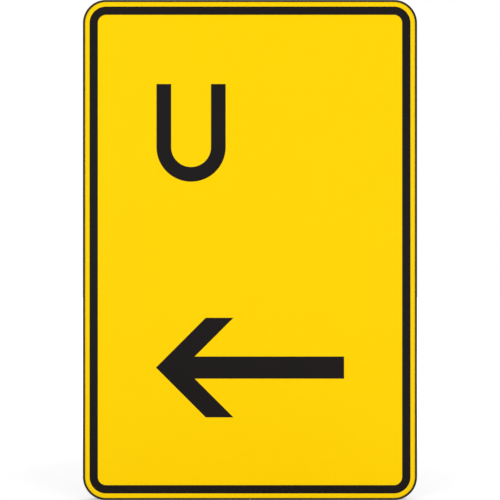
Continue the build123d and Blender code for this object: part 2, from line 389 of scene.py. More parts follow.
def powder_coat(settings):
    """Black powder coat with a fine orange peel."""
    graph = NodeGraph.material("Black powder coat")
    drift = graph.noise(graph.place(), scale=14.0, detail=4.0)
    peel = graph.noise(graph.place(), scale=900.0, detail=2.0)
    tone = graph.mixed(peel, drift, share=0.4)
    return graph.finish(
        Base_Color=graph.shades(tone, settings.coat, (0.3, 0.6), (0.7, 1.4)),
        Roughness=graph.spread(tone, source=NOISE_RANGE, target=(0.34, 0.5)),
        Specular_IOR_Level=0.16,
        Normal=graph.bump(peel, strength=0.4, distance=0.0003),
    )


def rail_aluminium(settings):
    """Mill-finish aluminium with die lines along the rail."""
    graph = NodeGraph.material("Rail aluminium")
    lines = graph.noise(graph.place(scale=(2.5, 620.0, 620.0)), scale=1.0, detail=3.0)
    haze = graph.noise(graph.place(scale=(6.0, 30.0, 30.0)), scale=1.0, detail=4.0)
    tone = graph.mixed(lines, haze, share=0.6)
    return graph.finish(
        Base_Color=graph.shades(tone, settings.aluminium, (0.3, 0.74), (0.7, 1.14)),
        Metallic=1.0,
        Roughness=graph.spread(tone, source=NOISE_RANGE, target=(0.46, 0.3)),
        Normal=graph.bump(lines, strength=0.16, distance=0.00006),
    )


def saddle_aluminium(settings):
    """Mill-finish aluminium with die lines up the saddle and saw marks across its ends."""
    graph = NodeGraph.material("Saddle aluminium")
    lines = graph.noise(graph.place(scale=(700.0, 700.0, 4.0)), scale=1.0, detail=3.0)
    haze = graph.noise(graph.place(), scale=40.0, detail=4.0)
    facing = graph.node("ShaderNodeTexCoord").outputs["Normal"]
    upright = graph.math("ABSOLUTE", graph.parts(facing)["Z"])
    ends = graph.spread(upright, source=(0.8, 0.95), target=(0.0, 1.0))
    # The blade's arcs are rings about an axis beside the saddle
    blade = graph.place(scale=(1.0, 1.0, 0.0), offset=(0.17, 0.06, 0.0))
    arcs = graph.node(
        "ShaderNodeTexWave",
        {"Vector": blade, "Scale": 190.0, "Distortion": 0.6, "Detail": 2.0},
        wave_type="RINGS",
        rings_direction="Z",
    ).outputs["Fac"]
    marks = graph.mixed(arcs, lines, share=ends)
    tone = graph.mixed(marks, haze, share=0.5)
    return graph.finish(
        Base_Color=graph.shades(tone, settings.aluminium, (0.25, 0.76), (0.75, 1.14)),
        Metallic=1.0,
        Roughness=graph.spread(tone, source=NOISE_RANGE, target=(0.48, 0.3)),
        Normal=graph.bump(marks, strength=0.16, distance=0.00006),
    )


def drawn_aluminium(settings):
    """Bright drawn aluminium of the rivets."""
    graph = NodeGraph.material("Rivet aluminium")
    drift = graph.noise(graph.place(), scale=420.0, detail=4.0)
    return graph.finish(
        Base_Color=graph.shades(drift, settings.aluminium, (0.3, 0.9), (0.7, 1.25)),
        Metallic=1.0,
        Roughness=graph.spread(drift, source=NOISE_RANGE, target=(0.24, 0.4)),
        Normal=graph.bump(drift, strength=0.1, distance=0.00008),
    )


def galvanised_steel(settings):
    """Hot-dip zinc with its spangle of crystals."""
    graph = NodeGraph.material("Galvanised steel")
    # The crystals' borders wander by up to this much
    sway = (0.004, 0.004, 0.004)
    bent = graph.noise(graph.place(), scale=90.0, detail=3.0)
    point = graph.vector_math("MULTIPLY_ADD", bent, sway, graph.place())
    crystals = graph.node("ShaderNodeTexVoronoi", {"Vector": point, "Scale": 150.0}, feature="F1")
    crystal = graph.node("ShaderNodeSeparateColor", {"Color": crystals.outputs["Color"]}).outputs[0]
    grey = graph.noise(graph.place(), scale=420.0, detail=4.0, roughness=0.6)
    tone = graph.mixed(grey, crystal, share=0.45)
    return graph.finish(
        Base_Color=graph.shades(tone, settings.galvanised, (0.15, 0.74), (0.5, 1.0), (0.85, 1.22)),
        Metallic=1.0,
        Roughness=graph.spread(tone, source=(0.2, 0.8), target=(0.52, 0.34)),
        Normal=graph.bump(grey, strength=0.12, distance=0.00012),
    )


def zinc_plate(settings):
    """Bright zinc plate with a faint stain."""
    graph = NodeGraph.material("Bright zinc plate")
    stain = graph.noise(graph.place(), scale=160.0, detail=4.0)
    grain = graph.noise(graph.place(), scale=1800.0, detail=2.0)
    return graph.finish(
        Base_Color=graph.shades(stain, settings.zinc, (0.3, 0.8), (0.7, 1.15)),
        Metallic=1.0,
        Roughness=graph.spread(stain, source=NOISE_RANGE, target=(0.38, 0.22)),
        Normal=graph.bump(grain, strength=0.08, distance=0.00004),
    )


def foam_tape(settings):
    """Dark closed-cell foam."""
    graph = NodeGraph.material("Foam tape")
    pores = graph.node("ShaderNodeTexVoronoi", {"Vector": graph.place(), "Scale": 2200.0}, feature="F1")
    depth = pores.outputs["Distance"]
    return graph.finish(
        Base_Color=graph.shades(depth, settings.foam, (0.1, 1.2), (0.8, 0.6)),
        Roughness=graph.spread(depth, source=(0.0, 0.8), target=(0.8, 0.95)),
        Specular_IOR_Level=0.2,
        Normal=graph.bump(depth, strength=0.3, distance=0.0002),
    )


def rounded_outline(corners, segments):
    """Points of a closed outline. Each corner is a place across, a place along and a radius."""
    points = []
    for index, (across, along, radius) in enumerate(corners):
        corner = Vector((across, along))
        if radius == 0.0:
            points.append(corner)
            continue
        back = (Vector(corners[index - 1][:2]) - corner).normalized()
        ahead = (Vector(corners[(index + 1) % len(corners)][:2]) - corner).normalized()
        half_angle = back.angle(ahead) / 2
        centre = corner + (back + ahead).normalized() * (radius / sin(half_angle))
        start = corner + back * (radius / tan(half_angle)) - centre
        stop = corner + ahead * (radius / tan(half_angle)) - centre
        sweep = start.angle_signed(stop)
        for step in range(segments + 1):
            # angle_signed counts clockwise turns as positive
            points.append(centre + Matrix.Rotation(-sweep * step / segments, 2) @ start)
    return points


def rounded_box(low, high, radius, segments):
    """Points of a rectangle between two corners, with all four corners rounded."""
    corners = ((low[0], low[1]), (high[0], low[1]), (high[0], high[1]), (low[0], high[1]))
    return rounded_outline([(across, along, radius) for across, along in corners], segments=segments)


def sign_stations(half_width, half_height, radius, steps):
    """Points round an upright rounded rectangle from the bottom right, each with the way inward."""
    stations = []
    corners = ((1, -1, -90.0), (1, 1, 0.0), (-1, 1, 90.0), (-1, -1, 180.0))
    for side, end, first_angle in corners:
        centre = Vector((side * (half_width - radius), end * (half_height - radius)))
        for step in range(steps + 1):
            angle = radians(first_angle + 90.0 * step / steps)
            outward = Vector((cos(angle), sin(angle)))
            stations.append((centre + outward * radius, -outward))
    return stations


def skin(bm, rings, loop=False):
    """Joins rings of points with faces, and caps the two ends unless the rings form a loop."""
    rows = [[bm.verts.new(point) for point in ring] for ring in rings]
    pairs = list(zip(rows, rows[1:]))
    if loop:
        pairs.append((rows[-1], rows[0]))
    else:
        bm.faces.new(rows[0])
        bm.faces.new(rows[-1])
    for near, far in pairs:
        for index, vertex in enumerate(near):
            bm.faces.new((near[index - 1], vertex, far[index], far[index - 1]))


def band(bm, stations, section, front, loop):
    """Carries a section of points, inward from the edge and back from the front, round the stations."""
    rings = []
    for point, inward in stations:
        ring = []
        for reach, depth in section:
            edge = point + inward * reach
            ring.append((edge.x, front + depth, edge.y))
        rings.append(ring)
    skin(bm, rings, loop)


def prism(bm, x, z, outline, front, rear):
    """Carries an outline about an axis from the front to the rear."""
    skin(bm, [[(x + across, depth, z + up) for across, up in outline] for depth in (front, rear)])


def round_angles(steps):
    """Even steps of a full turn."""
    return [2 * pi * step / steps for step in range(steps)]


def about_axis(x, z, radius, angle, depth):
    """A point at a radius and an angle about an axis that runs to the rear."""
    return (x + radius * cos(angle), depth, z + radius * sin(angle))


def turned_ring(bm, x, z, section, steps=48):
    """Turns a closed section of radius and depth about an axis."""
    rings = []
    for angle in round_angles(steps):
        rings.append([about_axis(x, z, radius, angle, depth) for radius, depth in section])
    skin(bm, rings, loop=True)


def turned_stud(bm, x, z, section, steps=24):
    """Stacks circles of radius and depth along an axis."""
    rings = []
    for radius, depth in section:
        rings.append([about_axis(x, z, radius, angle, depth) for angle in round_angles(steps)])
    skin(bm, rings)


def distances(points):
    """Length of an open line up to each of its points."""
    reached = [0.0]
    for near, far in zip(points, points[1:]):
        reached.append(reached[-1] + (far - near).length)
    return reached


def spaced(points, step):
    """Adds points along an open line so that none is further than step from the next."""
    line = [points[0]]
    for point in points[1:]:
        start = line[-1]
        count = ceil((point - start).length / step)
        line += [start.lerp(point, index / count) for index in range(1, count + 1)]
    return line


def kept_within(value):
    """A value that goes no lower than 0 and no higher than 1."""
    return min(max(value, 0.0), 1.0)


def fade(value, start, stop):
    """Falls smoothly from 1 at start to 0 at stop."""
    along = kept_within((value - start) / (stop - start))
    return 0.5 + 0.5 * cos(pi * along)


def thick_sheet(points, pattern, faces, seen):
    """Closes a sheet of faces into a solid. Each point has two places, one on either side of the sheet.

    The pattern holds the points' places on the flat sheet, from 0 to 1. On the map the first side takes
    the seen share of the height, the second side nearly all the rest, and the rim a strip at the top.
    """
    gap = 0.01
    rim = 0.02
    strips = ((0.0, seen), (seen + gap, 1.0 - rim - gap), (1.0 - rim, 1.0))
    bm = bmesh.new()
    layer = bm.loops.layers.uv.new(BAKE_MAP)
    first, second = [[bm.verts.new(place) for place in side] for side in zip(*points)]

    def add(vertices, spots, strip):
        """Adds a face. Its spots are across the map, and up a strip of it from 0 to 1."""
        bottom, top = strip
        made = bm.faces.new(vertices)
        for loop, (across, up) in zip(made.loops, spots):
            loop[layer].uv = (across, bottom + (top - bottom) * up)

    uses = Counter()
    for face in faces:
        spots = [pattern[index] for index in face]
        add([first[index] for index in face], spots, strips[0])
        add([second[index] for index in face], spots, strips[1])
        uses.update(tuple(sorted(pair)) for pair in zip(face, face[1:] + face[:1]))
    for (start, stop), count in uses.items():
        if count == 1:
            # The mean of a point's two places changes along every side, so it spreads the rim on the map
            near = sum(pattern[start]) / 2
            far = sum(pattern[stop]) / 2
            spots = ((near, 0.0), (far, 0.0), (far, 1.0), (near, 1.0))
            add((first[start], first[stop], second[stop], second[start]), spots, strips[2])
    bmesh.ops.recalc_face_normals(bm, faces=bm.faces)
    return bm


def ease_edges(bm, width, least=35.0):
    """Rounds the edges whose faces meet at more than the least angle, in degrees."""
    edges = [edge for edge in bm.edges if edge.is_manifold and edge.calc_face_angle() > radians(least)]
    bmesh.ops.bevel(
        bm,
        geom=edges,
        offset=width,
        offset_type="OFFSET",
        segments=2,
        profile=0.5,
        affect="EDGES",
        clamp_overlap=True,
    )


def solid_copy(node):
    """A copy of a solid's mesh, with its faces joined and its flat faces whole."""
    same_place = 0.000002
    flat_angle = radians(0.6)
    bm = bmesh.new()
    bm.from_mesh(frame["nodes"][node].data)
    bmesh.ops.remove_doubles(bm, verts=bm.verts, dist=same_place)
    bmesh.ops.dissolve_limit(bm, angle_limit=flat_angle, verts=bm.verts, edges=bm.edges)
    return bm


def add_object(name, data):
    """Puts a new object into the scene."""
    made = bpy.data.objects.new(name, data)
    bpy.context.scene.collection.objects.link(made)
    return made


def add_mesh(name, bm, material):
    """Puts a new mesh of one material into the scene."""
    mesh = bpy.data.meshes.new(name)
    bm.to_mesh(mesh)
    bm.free()
    mesh.materials.append(material)
    return add_object(name, mesh)


def add_piece(name, bm, material, body, nodes=(), sharp=35.0):
    """Makes a piece of the sign from a mesh, which rides on a body and stands for some nodes."""
    if not bm.faces:
        raise RuntimeError(f"{name} has no faces")
    bmesh.ops.recalc_face_normals(bm, faces=bm.faces)
    piece = add_mesh(name, bm, material)
    piece.data.shade_smooth()
    piece.data.set_sharp_from_angle(angle=radians(sharp))
    piece.modifiers.new("Even shading", "WEIGHTED_NORMAL").keep_sharp = True
    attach(piece, body)
    if nodes:
        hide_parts(*nodes)


def finish_node(node, material):
    """Gives its material to a solid that stays."""
    materials = frame["nodes"][node].data.materials
    materials.clear()
    materials.append(material)


def bolt_places(end, settings):
    """The two bolts of a clamp, across and up."""
    low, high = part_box(f"{end}_saddle")
    height = (low.z + high.z) / 2
    reach = settings.bolt_spacing / 2
    return [(-reach, height), (reach, height)]


class DETOUR_OT_films(Operator):
    """Finish the sheet and its films, and cut the face and the border with smooth corners"""

    bl_idname = "detour_sign.films"
    bl_label = "Sheet and films"

    def face(self, stations):
        """The face film, one closed sheet that covers the front."""
        outline = [point for point, _ in stations]
        return thick_sheet(
            points=[((x, face_low.y, z), (x, face_high.y, z)) for x, z in outline],
            pattern=[(0.5 + x / sheet_high.x / 2, 0.5 + z / sheet_high.z / 2) for x, z in outline],
            faces=[tuple(range(len(outline)))],
            seen=0.95,
        )

    def border(self, settings, stations):
        """The border film, a band that runs round the face."""
        outer = settings.border_margin
        inner = outer + settings.border_width
        thickness = border_high.y - border_low.y
        # The front edges are cut off over a quarter of the film's thickness
        cut = thickness / 4
        section = rounded_outline((
            (outer, 0.0, cut),
            (inner, 0.0, cut),
            (inner, thickness, 0.0),
            (outer, thickness, 0.0),
        ), segments=1)
        bm = bmesh.new()
        band(bm, stations, section, border_low.y, loop=True)
        return bm

    def execute(self, context):
        settings = context.scene.detour_films
        stations = sign_stations(sheet_high.x, sheet_high.z, settings.corner_radius, steps=28)
        finish_node("panel_sheet", sheet_paint(settings))
        yellow = reflective_film(settings)
        add_piece("yellow_face", self.face(stations), yellow, "panel", ["face_film"])
        black = legend_film(settings)
        finish_node("letter_film", black)
        finish_node("arrow_film", black)
        border = self.border(settings, stations)
        add_piece("border_band", border, black, "panel", ["border_film"])
        return {"FINISHED"}


class DETOUR_OT_profile(Operator):
    """Bend the edge profile round the sheet and close its joint"""

    bl_idname = "detour_sign.profile"
    bl_label = "Edge profile"

    bend_steps = 36
    # The map has a row for each side of the sign and the bend after it
    map_rows = 4
    map_gap = 0.01
    # Places along the first row for the profile's two cut ends
    map_ends = (0.45, 0.55)

    def section(self, settings):
        """Outline of the profile, as the reach inward and the depth from its front."""
        wall = settings.wall
        lip = settings.lip_reach
        shelf = settings.shelf_reach
        flange = settings.flange_reach
        lip_rear = settings.lip_thickness
        shelf_front = sheet_high.y - profile_low.y
        shelf_rear = shelf_front + settings.shelf_thickness
        flange_rear = profile_high.y - profile_low.y
        flange_front = flange_rear - settings.flange_thickness
        front_round = settings.front_round
        tip_round = settings.tip_round
        root_round = settings.root_round
        return rounded_outline((
            (0.0, 0.0, front_round),
            (0.0, flange_rear, settings.rear_round),
            (flange, flange_rear, tip_round),
            (flange, flange_front, tip_round),
            (wall, flange_front, root_round),
            (wall, shelf_rear, root_round),
            (shelf, shelf_rear, tip_round),
            (shelf, shelf_front, tip_round),
            (wall, shelf_front, 0.0),
            (wall, lip_rear, 0.0),
            (lip, lip_rear, tip_round),
            (lip, 0.0, front_round),
        ), segments=4)

    def lay_out(self, bm, stations, section):
        """Lays the profile's faces out on its map. Both halves of the bottom side share its first row."""
        around = distances(section + section[:1])
        along = distances([point for point, _ in stations])
        # A row starts at the profile's own start or where a bend stops
        starts = along[::self.bend_steps + 1]
        row_length = max(far - near for near, far in zip(starts, starts[1:]))
        row_height = 1 / self.map_rows - self.map_gap
        # The second half of the bottom side ends where the first row ends
        starts[-1] = along[-1] - row_length
        layer = bm.loops.layers.uv.new(BAKE_MAP)
        faces = list(bm.faces)
        # The two ends were made first, and then the faces from each station to the next
        for start, face in zip(self.map_ends, faces):
            for loop, (reach, depth) in zip(face.loops, section):
                loop[layer].uv = (start + reach / row_length, depth / around[-1] * row_height)
        for number, face in enumerate(faces[2:]):
            station, point = divmod(number, len(section))
            side = station // (self.bend_steps + 1)
            before = (point - 1) % len(section)
            corners = (
                (station, before),
                (station, before + 1),
                (station + 1, before + 1),
                (station + 1, before),
            )
            for loop, (ring, spot) in zip(face.loops, corners):
                across = (along[ring] - starts[side]) / row_length
                up = side % self.map_rows / self.map_rows + around[spot] / around[-1] * row_height
                loop[layer].uv = (across, up)

    def execute(self, context):
        settings = context.scene.detour_profile
        stations = sign_stations(
            profile_high.x, profile_high.z, settings.corner_radius, steps=self.bend_steps
        )
        # The profile's ends face each other at the bottom centre
        inward = Vector((0.0, 1.0))
        stations.insert(0, (Vector((settings.butt_gap / 2, profile_low.z)), inward))
        stations.append((Vector((-settings.butt_gap / 2, profile_low.z)), inward))
        section = self.section(settings)
        bm = bmesh.new()
        band(bm, stations, section, profile_low.y, loop=False)
        self.lay_out(bm, stations, section)
        add_piece("edge_frame", bm, powder_coat(settings), "panel", ["edge_profile"])
        return {"FINISHED"}


class DETOUR_OT_rails(Operator):
    """Extrude the two rails, and finish their tapes and the splice plate"""

    bl_idname = "detour_sign.rails"
    bl_label = "Rails"

    def section(self, settings, low, high):
        """Outline of a rail, as the depth and the height from its middle."""
        half = (high.z - low.z) / 2
        slot = settings.slot / 2
        cavity = half - settings.wall
        floor = low.y + settings.wall
        lip = high.y - settings.lip
        groove = settings.groove_offset
        notch = settings.groove_depth
        inner_radius = settings.inner_radius
        upper_half = (
            (lip, slot, settings.lip_round),
            (high.y, slot, settings.lip_round),
            (high.y, groove - notch, 0.0),
            (high.y - notch, groove, 0.0),
            (high.y, groove + notch, 0.0),
            (high.y, half, settings.outer_radius),
            (low.y, half, settings.outer_radius),
        )
        lower_half = tuple((depth, -height, radius) for depth, height, radius in reversed(upper_half))
        inside = (
            (lip, -cavity, inner_radius),
            (floor, -cavity, inner_radius),
            (floor, cavity, inner_radius),
            (lip, cavity, inner_radius),
        )
        return rounded_outline(upper_half + lower_half + inside, segments=4)

    def execute(self, context):
        settings = context.scene.detour_rails
        aluminium = rail_aluminium(settings)
        foam = foam_tape(settings)
        plate = solid_copy("splice_plate")
        ease_edges(plate, settings.plate_edge)
        add_piece("joint_plate", plate, aluminium, "panel", ["splice_plate"])
        for end in ENDS:
            finish_node(f"{end}_rail_tape", foam)
            low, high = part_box(f"{end}_rail")
            middle = (low.z + high.z) / 2
            outline = self.section(settings, low, high)
            bm = bmesh.new()
            skin(bm, [[(x, depth, middle + height) for depth, height in outline] for x in (low.x, high.x)])
            add_piece(f"{end}_c_rail", bm, aluminium, "panel", [f"{end}_rail"])
        return {"FINISHED"}


class DETOUR_OT_rivets(Operator):
    """Set the blind rivets that hold the rails and the splice plate to the rear flange"""

    bl_idname = "detour_sign.rivets"
    bl_label = "Rivets"

    # Places of the joint's rivets, as shares of the splice plate's half length
    joint_places = (-0.75, -0.3, 0.3, 0.75)

    def head(self, settings):
        """Radii and depths of a rivet's low dome, with the broken pin sunk in its middle."""
        # All points are shares of the head's radius and height
        brim = 0.12
        dome = [(1.0, -brim), (1.0, brim)]
        for angle in (15.0, 30.0, 45.0, 60.0):
            dome.append((cos(radians(angle)), brim + (1.0 - brim) * sin(radians(angle))))
        hole = [(0.34, 1.0), (0.3, 0.95), (0.27, 0.5)]
        pin = [(0.2, 0.45), (0.16, 0.6)]
        radius = settings.rivet_diameter / 2
        height = settings.rivet_height
        return [(radius * across, profile_high.y + height * up) for across, up in dome + hole + pin]

    def execute(self, context):
        settings = context.scene.detour_rails
        aluminium = drawn_aluminium(settings)
        head = self.head(settings)
        flange_edge = profile_high.x - context.scene.detour_profile.flange_reach
        rails = bmesh.new()
        for end in ENDS:
            low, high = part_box(f"{end}_rail")
            middle = (low.z + high.z) / 2
            across = (high.x + flange_edge) / 2
            for x in (-across, across):
                for z in (middle - settings.groove_offset, middle + settings.groove_offset):
                    turned_stud(rails, x, z, head)
        add_piece("rail_rivets", rails, aluminium, "panel")
        plate_low, plate_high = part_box("splice_plate")
        joint = bmesh.new()
        for place in self.joint_places:
            turned_stud(joint, place * plate_high.x, (plate_low.z + plate_high.z) / 2, head)
        add_piece("joint_rivets", joint, aluminium, "panel")
        return {"FINISHED"}


class DETOUR_OT_saddles(Operator):
    """Ease the edges of the two saddles and give them their mill finish"""

    bl_idname = "detour_sign.saddles"
    bl_label = "Saddles"

    def execute(self, context):
        settings = context.scene.detour_clamps
        aluminium = saddle_aluminium(context.scene.detour_rails)
        for end in ENDS:
            body = f"{end}_clamp"
            bm = solid_copy(f"{end}_saddle")
            ease_edges(bm, settings.saddle_edge)
            add_piece(f"{end}_post_saddle", bm, aluminium, body, [f"{end}_saddle"])
        return {"FINISHED"}


class StrapSheet:
    """The bent sheet of a strap as points and faces. Each point has a place outside and one inside."""

    # Steps of the mesh along half the band, along a bend, across the width and round an ear's corner
    band_steps = 26
    bend_steps = 10
    width_steps = 40
    corner_steps = 6
    # Longest step along an ear's rim
    rim_step = 0.003

    def __init__(self, settings, low, high, bolt_reach):
        self.settings = settings
        self.low = low
        self.high = high
        self.bolt_reach = bolt_reach
        self.middle = (low.z + high.z) / 2
        self.half_width = (high.z - low.z) / 2
        self.band_radius = post_radius + settings.strap_thickness
        self.ear_rear = low.y + settings.strap_thickness
        # Each bend turns about an upright axis behind its ear
        swing = self.band_radius + settings.crook_radius
        axis_depth = self.ear_rear + settings.crook_radius
        self.axis = Vector((sqrt(swing ** 2 - axis_depth ** 2), axis_depth))
        self.wrap = atan2(self.axis.x, self.axis.y)
        self.bend_length = self.wrap * (settings.crook_radius + settings.strap_thickness)
        self.ear_start = self.along(2 * self.wrap)
        self.half_length = self.ear_start + high.x - self.axis.x
        self.points = []
        self.pattern = []
        self.faces = []
        columns = self.add_band()
        self.add_ear(-1, columns[0])
        self.add_ear(1, columns[-1])

    def bead(self, angle, height, crest):
        """Share of the bead's rise at an angle from its middle and a height from its line."""
        slope_start = crest / 2 - self.settings.bead_inset
        across = fade(abs(height), slope_start, slope_start + self.settings.bead_slope)
        return across * fade(abs(angle), self.settings.bead_full, self.settings.bead_end)

    def place(self, angle, radius, height):
        """A point of the band, or of the bend that turns the other way beyond the wrap."""
        z = self.middle + height
        lean = 2 * self.wrap - abs(angle)
        if lean >= self.wrap:
            return (radius * sin(angle), radius * cos(angle), z)
        from_axis = self.axis.length - radius
        x = self.axis.x - from_axis * sin(lean)
        return (copysign(x, angle), self.axis.y - from_axis * cos(lean), z)

    def along(self, angle):
        """Length of the sheet from its middle to an angle of the band, or of the bend beyond the wrap."""
        bent = max(abs(angle) / self.wrap - 1.0, 0.0)
        return copysign(min(abs(angle), self.wrap) * self.band_radius + bent * self.bend_length, angle)

    def add_point(self, along, height, outside, inside):
        """Adds a point, with its place on the flat sheet, and returns its number."""
        self.points.append((outside, inside))
        self.pattern.append((0.5 + along / self.half_length / 2, 0.5 + height / self.half_width / 2))
        return len(self.points) - 1

    def add_band(self):
        """Adds the band and its two bends, and returns the columns of points from end to end."""
        half = [self.wrap * step / self.band_steps for step in range(self.band_steps)]
        half += [self.wrap + self.wrap * step / self.bend_steps for step in range(self.bend_steps + 1)]
        rise = self.high.y - self.band_radius
        columns = []
        for angle in [-angle for angle in reversed(half[1:])] + half:
            column = []
            for step in range(self.width_steps + 1):
                height = self.half_width * (2 * step / self.width_steps - 1)
                outer = self.band_radius + rise * self.bead(angle, height, self.settings.bead_crest)
                inner = post_radius + rise * self.bead(angle, height, self.settings.groove_crest)
                outside = self.place(angle, outer, height)
                inside = self.place(angle, inner, height)
                column.append(self.add_point(self.along(angle), height, outside, inside))
            columns.append(column)
        for near, far in zip(columns, columns[1:]):
            for row in range(self.width_steps):
                self.faces.append((near[row], far[row], far[row + 1], near[row + 1]))
        return columns

    def ear_point(self, x, z):
        """Adds a point of the flat ear and returns its number."""
        along = copysign(self.ear_start + abs(x) - self.axis.x, x)
        return self.add_point(along, z - self.middle, (x, self.ear_rear, z), (x, self.low.y, z))

    def add_ear(self, side, root):
        """Adds an ear from the band's last column to its rounded end, with the bolt's hole."""
        corner = self.settings.ear_corner
        outline = rounded_outline((
            (self.axis.x, -self.half_width, 0.0),
            (self.high.x, -self.half_width, corner),
            (self.high.x, self.half_width, corner),
            (self.axis.x, self.half_width, 0.0),
        ), segments=self.corner_steps)
        rim = list(reversed(root))
        for across, height in spaced(outline, self.rim_step)[1:-1]:
            rim.append(self.ear_point(side * across, self.middle + height))
        bolt = Vector((side * self.bolt_reach, self.middle))
        hole = []
        for index in rim:
            x, _, z = self.points[index][0]
            way = (Vector((x, z)) - bolt).normalized()
            hole.append(self.ear_point(*(bolt + way * self.settings.bolt_hole / 2)))
        for index in range(len(rim)):
            self.faces.append((rim[index - 1], rim[index], hole[index], hole[index - 1]))


class DETOUR_OT_straps(Operator):
    """Bend the two straps round the post, press their beads and galvanise them"""

    bl_idname = "detour_sign.straps"
    bl_label = "Straps"

    def execute(self, context):
        settings = context.scene.detour_clamps
        bolt_reach = context.scene.detour_fasteners.bolt_spacing / 2
        steel = galvanised_steel(settings)
        for end in ENDS:
            body = f"{end}_strap_set"
            low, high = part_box(f"{end}_strap")
            sheet = StrapSheet(settings, low, high, bolt_reach)
            bm = thick_sheet(sheet.points, sheet.pattern, sheet.faces, seen=0.5)
            ease_edges(bm, settings.strap_edge, least=60.0)
            add_piece(f"{end}_post_strap", bm, steel, body, [f"{end}_strap"])
        return {"FINISHED"}


class DETOUR_OT_bolts(Operator):
    """Forge the T-heads of the four bolts and roll their threads"""

    bl_idname = "detour_sign.bolts"
    bl_label = "T-bolts"

    rows_per_turn = 8
    turn_steps = 24
    # Turns in which the thread reaches its full depth
    run_in_turns = 1.5
    # Fall of the tapered tip, in depths of the thread
    tip_fall = 1.2

    def head(self, settings, half_width, half_length):
        """Outline of a T-head, with two of its corners rounded to turn in."""
        corner = settings.head_corner
        turn_in = settings.head_round
        return rounded_outline((
            (-half_width, -half_length, corner),
            (half_width, -half_length, turn_in),
            (half_width, half_length, corner),
            (-half_width, half_length, turn_in),
        ), segments=5)

    def shank(self, settings, start, stop):
        """Rings of a shank's radius, angle and depth, from its plain start to the thread's tapered tip."""
        radius = settings.bolt_diameter / 2
        pitch = settings.thread_pitch
        # A metric thread has a crest of an eighth and a root of a quarter of its pitch
        crest = 1 / 8
        root = 1 / 4
        flank = (1 - crest - root) / 2
        thread_start = stop - settings.thread_length
        count = round(settings.thread_length / pitch * self.rows_per_turn)
        rings = [[(radius, angle, start) for angle in round_angles(self.turn_steps)]]
        for row in range(count + 1):
            along = settings.thread_length * row / count
            run_in = kept_within(along / (self.run_in_turns * pitch))
            taper = kept_within(1.0 - (settings.thread_length - along) / settings.tip_taper)
            tip_radius = radius - self.tip_fall * settings.thread_depth * taper
            ring = []
            for angle in round_angles(self.turn_steps):
                phase = (along / pitch - angle / (2 * pi)) % 1.0
                height = kept_within(((1 - root) / 2 - abs(phase - 0.5)) / flank)
                thread_radius = radius - settings.thread_depth * (1.0 - height) * run_in
                ring.append((min(thread_radius, tip_radius), angle, thread_start + along))
            rings.append(ring)
        return rings

    def execute(self, context):
        settings = context.scene.detour_fasteners
        zinc = zinc_plate(settings)
        edge = settings.head_edge
        neck = (context.scene.detour_rails.slot - settings.neck_play) / 2
        square = rounded_box((-neck, -neck), (neck, neck), settings.head_corner, segments=2)
        for end in ENDS:
            body = f"{end}_clamp"
            places = bolt_places(end, settings)
            low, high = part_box(f"{end}_t_bolts")
            head = self.head(settings, neck, (high.z - low.z) / 2)
            head_rear = low.y + settings.head_thickness
            neck_rear = head_rear + settings.neck_length
            bm = bmesh.new()
            for x, z in places:
                prism(bm, x, z, head, low.y, head_rear)
            ease_edges(bm, edge, least=60.0)
            # The neck and the shank begin a little inside what carries them
            rings = self.shank(settings, neck_rear - edge, high.y)
            for x, z in places:
                prism(bm, x, z, square, head_rear - edge, neck_rear)
                skin(bm, [[about_axis(x, z, *point) for point in ring] for ring in rings])
            add_piece(f"{end}_rail_bolts", bm, zinc, body, [f"{end}_t_bolts"], sharp=50.0)
        return {"FINISHED"}


class DETOUR_OT_washers(Operator):
    """Turn the flat washers and coil the spring washers"""

    bl_idname = "detour_sign.washers"
    bl_label = "Washers"

    coil_steps = 56

    def section(self, settings, rim, front, rear):
        """Section of a washer from its bore to its rim, as radii and depths."""
        bore = settings.bolt_diameter / 2 + settings.washer_play
        return rounded_box((bore, front), (rim, rear), settings.washer_edge, segments=2)

    def coil(self, settings, x, z, section, middle):
        """Rings of a spring washer from one end of its slanted split to the other."""
        rings = []
        for step in range(self.coil_steps + 1):
            ring = []
            for radius, depth in section:
                lean = (depth - middle) * tan(settings.split_slant) / radius
                opening = settings.spring_split / 2 / radius
                # The split is at the top of the washer
                angle = pi / 2 + lean - opening - 2 * (pi - opening) * step / self.coil_steps
                ring.append(about_axis(x, z, radius, angle, depth))
            rings.append(ring)
        return rings

    def execute(self, context):
        settings = context.scene.detour_fasteners
        zinc = zinc_plate(settings)
        for end in ENDS:
            body = f"{end}_strap_set"
            places = bolt_places(end, settings)
            low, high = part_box(f"{end}_washers")
            section = self.section(settings, (high.z - low.z) / 2, low.y, high.y)
            flat = bmesh.new()
            for x, z in places:
                turned_ring(flat, x, z, section)
            add_piece(f"{end}_flat_washers", flat, zinc, body, [f"{end}_washers"])
            low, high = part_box(f"{end}_spring_washers")
            section = self.section(settings, (high.x - low.x - settings.bolt_spacing) / 2, low.y, high.y)
            split = bmesh.new()
            for x, z in places:
                skin(split, self.coil(settings, x, z, section, (low.y + high.y) / 2))
            add_piece(f"{end}_split_washers", split, zinc, body, [f"{end}_spring_washers"])
        return {"FINISHED"}


